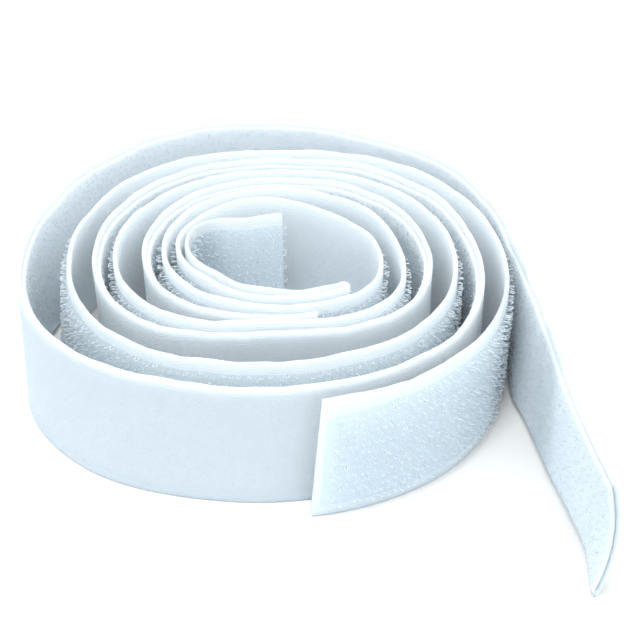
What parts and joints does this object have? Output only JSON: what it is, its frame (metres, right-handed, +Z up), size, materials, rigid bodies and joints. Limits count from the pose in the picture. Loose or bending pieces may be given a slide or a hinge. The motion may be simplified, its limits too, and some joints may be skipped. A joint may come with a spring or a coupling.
{
  "type": "hook and loop tape roll",
  "caption": "Loose roll of sewing hook and loop tape standing on edge, a loop tape and a hook tape wound together, with free tails and an open hole.",
  "frame": {"origin": "middle of the whole outline seen from above, at the level of the tape edges that the roll stands on", "axes": "+Z up, across the tape's width and along the axis of the winding; the loop tape's tail runs towards -Y on the +X side"},
  "size_m": [0.0982, 0.1106, 0.025],
  "materials": {
    "woven_ground": "close plain weave, slight sheen",
    "loop_pile": "soft brushed loops",
    "hook_pile": "stiff clear monofilament hooks"
  },
  "bodies": {
    "loop_coil": {"loop_tape_ground": "woven_ground", "loop_tape_pile": "loop_pile"},
    "loop_tail": {"loop_tail_ground": "woven_ground", "loop_tail_pile": "loop_pile"},
    "loop_tip": {"loop_tip_ground": "woven_ground", "loop_tip_pile": "loop_pile"},
    "hook_coil": {"hook_tape_ground": "woven_ground", "hook_tape_hooks": "hook_pile"},
    "hook_flap": {"hook_flap_ground": "woven_ground", "hook_flap_hooks": "hook_pile"},
    "hook_core": {"hook_core_ground": "woven_ground", "hook_core_hooks": "hook_pile"}
  },
  "joints": [
    {"name": "tail_swing", "type": "hinge", "parent": "loop_coil", "child": "loop_tail", "pos_m": [0.04342, -0.00209, 0.0125], "axis": [0, 0, 1], "range_deg": [-10, 45], "stiffness_Nm_per_rad": 0.0002},
    {"name": "tail_curl", "type": "hinge", "parent": "loop_tail", "child": "loop_tip", "pos_m": [0.04563, -0.02862, 0.0125], "axis": [0, 0, 1], "range_deg": [-10, 45], "stiffness_Nm_per_rad": 0.0002},
    {"name": "draw_out", "type": "slide", "parent": "loop_coil", "child": "hook_coil", "axis": [0, 0, 1], "range_m": [0, 0.03]},
    {"name": "flap_peel", "type": "hinge", "parent": "hook_coil", "child": "hook_flap", "pos_m": [0.03441, -0.01679, 0.0125], "axis": [0, 0, 1], "range_deg": [-5, 45], "stiffness_Nm_per_rad": 0.0002},
    {"name": "core_flex", "type": "hinge", "parent": "hook_coil", "child": "hook_core", "pos_m": [-0.01351, 0.01756, 0.0125], "axis": [0, 0, -1], "range_deg": [-15, 30], "stiffness_Nm_per_rad": 0.0002}
  ],
  "couplings": [
    {"joint": "tail_curl", "follows": "tail_swing", "ratio": 1}
  ]
}
